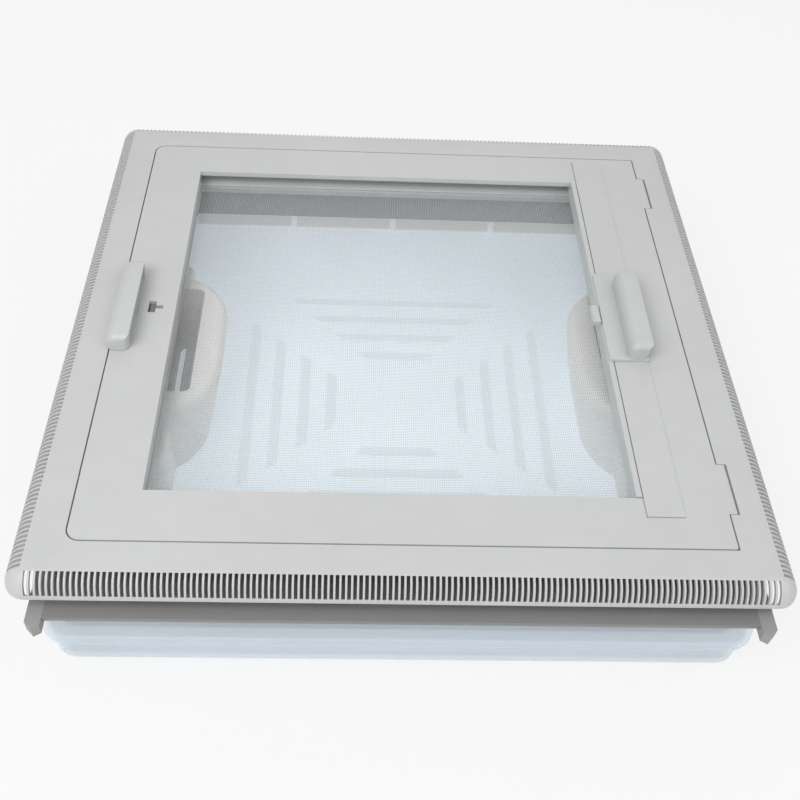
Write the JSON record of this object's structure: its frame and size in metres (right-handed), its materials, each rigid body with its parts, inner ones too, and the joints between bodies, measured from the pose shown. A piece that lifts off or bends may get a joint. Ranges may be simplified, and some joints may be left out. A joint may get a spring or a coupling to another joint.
{
  "type": "roof window",
  "caption": "Tilting roof window for a square cut-out: double domed pane, roof frame, slotted ceiling trim and hinged flap with fly screen and pleated blind.",
  "frame": {"origin": "centre of the dome's flat crown, the lowest face of the part as it lies", "axes": "+Z from the dome to the living space, +X from the flap's latch side to its hinge side, +Y from the near side to the far side"},
  "size_m": [0.46, 0.486, 0.1156],
  "materials": {
    "frame_plastic": "fine matt moulded grey plastic",
    "seal_rubber": "soft black rubber",
    "light_plastic": "matt light grey plastic",
    "screw_steel": "plain steel",
    "clear_pane": "bluish translucent acrylic",
    "cream_plastic": "matt cream white plastic",
    "trim_plastic": "fine matt light warm grey plastic",
    "grip_plastic": "smooth light warm grey plastic",
    "net_fabric": "fine dark net",
    "blind_fabric": "pleated light cloth"
  },
  "bodies": {
    "roof_frame": {"roof_frame": "frame_plastic", "left_side_rail": "frame_plastic", "right_side_rail": "frame_plastic", "frame_seal": "seal_rubber", "left_stay_guide": "light_plastic", "right_stay_guide": "light_plastic", "left_stay_pad": "seal_rubber", "right_stay_pad": "seal_rubber"},
    "right_stay": {"right_stay": "light_plastic"},
    "dome": {"dome_outer_pane": "clear_pane", "dome_inner_pane": "clear_pane", "left_handle": "cream_plastic", "right_handle": "cream_plastic", "left_pivot_pin": "screw_steel", "right_pivot_pin": "screw_steel"},
    "left_stay": {"left_stay": "light_plastic"},
    "trim": {"trim_frame": "trim_plastic", "near_hinge_pin": "screw_steel", "far_hinge_pin": "screw_steel"},
    "flap": {"flap_frame": "trim_plastic", "screen_frame": "trim_plastic", "fly_screen": "net_fabric", "near_blind_rail": "trim_plastic", "far_blind_rail": "trim_plastic", "cassette_cover": "trim_plastic"},
    "latch": {"latch_grip": "grip_plastic", "latch_bolt": "grip_plastic"},
    "blind": {"blind_end_bar": "grip_plastic", "blind_grip": "grip_plastic", "blind_catch": "grip_plastic", "blind_fabric": "blind_fabric"}
  },
  "joints": [
    {"name": "dome_lift", "type": "slide", "parent": "roof_frame", "child": "right_stay", "axis": [0, 0, -1], "range_m": [0, 0.055]},
    {"name": "dome_tilt", "type": "hinge", "parent": "right_stay", "child": "dome", "pos_m": [0.1864, 0, 0.0143], "axis": [0, -1, 0], "range_deg": [0, 7], "deforming": ["frame_seal"]},
    {"name": "left_stay_swing", "type": "hinge", "parent": "dome", "child": "left_stay", "pos_m": [-0.1864, 0, 0.0143], "axis": [0, -1, 0], "range_deg": [-7, 0]},
    {"name": "trim_slide", "type": "slide", "parent": "roof_frame", "child": "trim", "axis": [0, 0, 1], "range_m": [0, 0.02]},
    {"name": "flap_hinge", "type": "hinge", "parent": "trim", "child": "flap", "pos_m": [0.2012, 0, 0.0978], "axis": [0, 1, 0], "range_deg": [0, 100]},
    {"name": "latch_slide", "type": "slide", "parent": "flap", "child": "latch", "axis": [-1, 0, 0], "range_m": [0, 0.003]},
    {"name": "blind_slide", "type": "slide", "parent": "flap", "child": "blind", "axis": [-1, 0, 0], "range_m": [0, 0.3], "deforming": ["blind_fabric"]}
  ],
  "couplings": [
    {"joint": "left_stay_swing", "follows": "dome_tilt", "ratio": -1}
  ]
}
